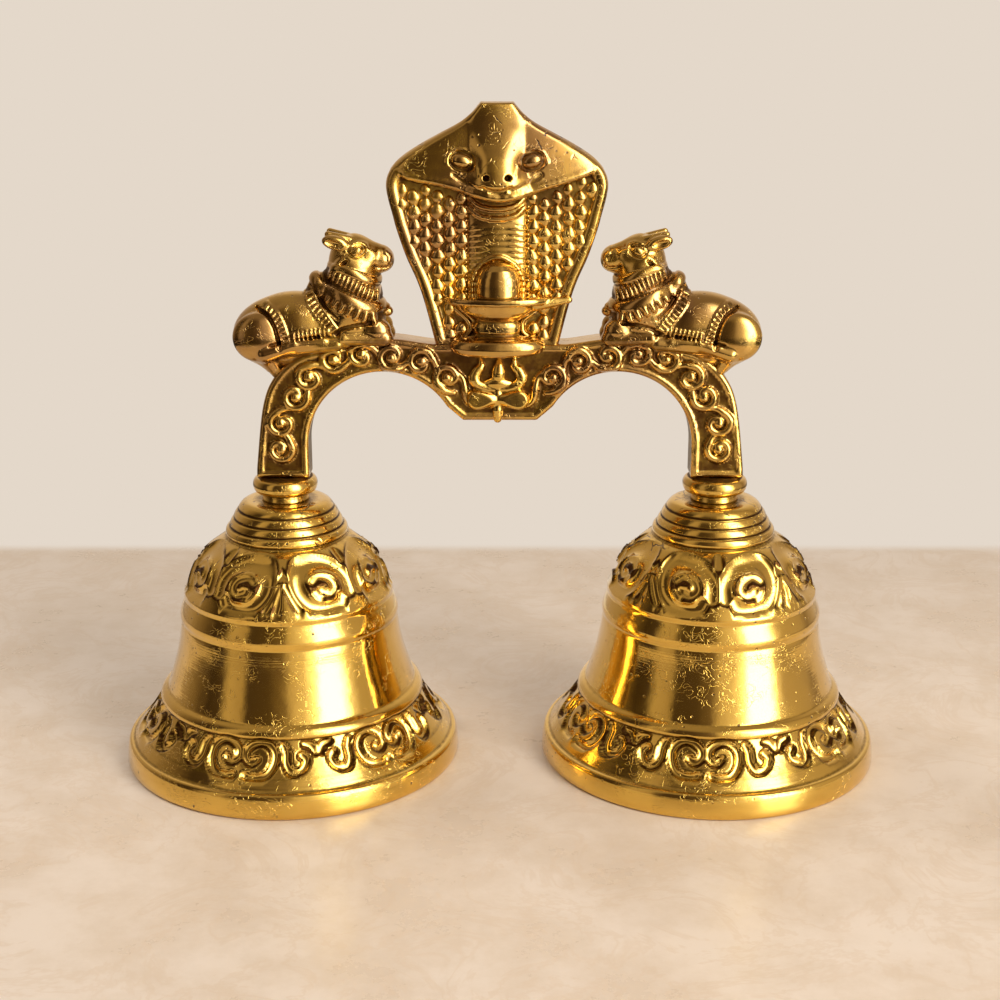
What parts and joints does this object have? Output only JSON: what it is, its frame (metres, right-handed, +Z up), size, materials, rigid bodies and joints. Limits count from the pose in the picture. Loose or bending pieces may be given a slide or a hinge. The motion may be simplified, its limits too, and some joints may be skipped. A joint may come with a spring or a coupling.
{
  "type": "double bell",
  "caption": "Brass ritual hand bells hung side by side under an arched handle with a cobra hood, a lingam stand and lying bulls; clappers swing inside.",
  "frame": {"origin": "on the table under the middle of the handle, midway between the bells' axes, at the level of their lips", "axes": "+Z up along the bells' axes, +X along the pair from the left bell to the right one, +Y from the front, with the relief, to the back"},
  "size_m": [0.1668, 0.074, 0.143],
  "materials": {
    "cast_brass": "cast in sand, polished on the high parts, dark in the recesses",
    "turned_brass": "turned on a lathe and buffed, engraved lines left dark",
    "clapper_brass": "cast, dull",
    "steel": "plain, worn"
  },
  "bodies": {
    "root": {"handle_bow": "cast_brass", "cobra_hood": "cast_brass", "lingam_stand": "cast_brass", "trident_emblem": "cast_brass", "bull_left": "cast_brass", "collar_left": "turned_brass", "neck_spacer_left": "turned_brass", "bell_left": "turned_brass", "eye_bolt_left": "steel", "washer_left": "steel", "nut_left": "steel", "bull_right": "cast_brass", "collar_right": "turned_brass", "neck_spacer_right": "turned_brass", "bell_right": "turned_brass", "eye_bolt_right": "steel", "washer_right": "steel", "nut_right": "steel"},
    "link_left": {"clapper_link_left": "steel"},
    "clapper_left": {"clapper_left": "clapper_brass"},
    "link_right": {"clapper_link_right": "steel"},
    "clapper_right": {"clapper_right": "clapper_brass"}
  },
  "joints": [
    {"name": "link_swing_left", "type": "hinge", "parent": "root", "child": "link_left", "pos_m": [-0.04645, 0, 0.0427], "axis": [0, 1, 0], "range_deg": [-30, 30]},
    {"name": "clapper_swing_left", "type": "hinge", "parent": "link_left", "child": "clapper_left", "pos_m": [-0.04645, 0, 0.0361], "axis": [1, 0, 0], "range_deg": [-10, 10]},
    {"name": "link_swing_right", "type": "hinge", "parent": "root", "child": "link_right", "pos_m": [0.04645, 0, 0.0427], "axis": [0, 1, 0], "range_deg": [-30, 30]},
    {"name": "clapper_swing_right", "type": "hinge", "parent": "link_right", "child": "clapper_right", "pos_m": [0.04645, 0, 0.0361], "axis": [1, 0, 0], "range_deg": [-10, 10]}
  ]
}
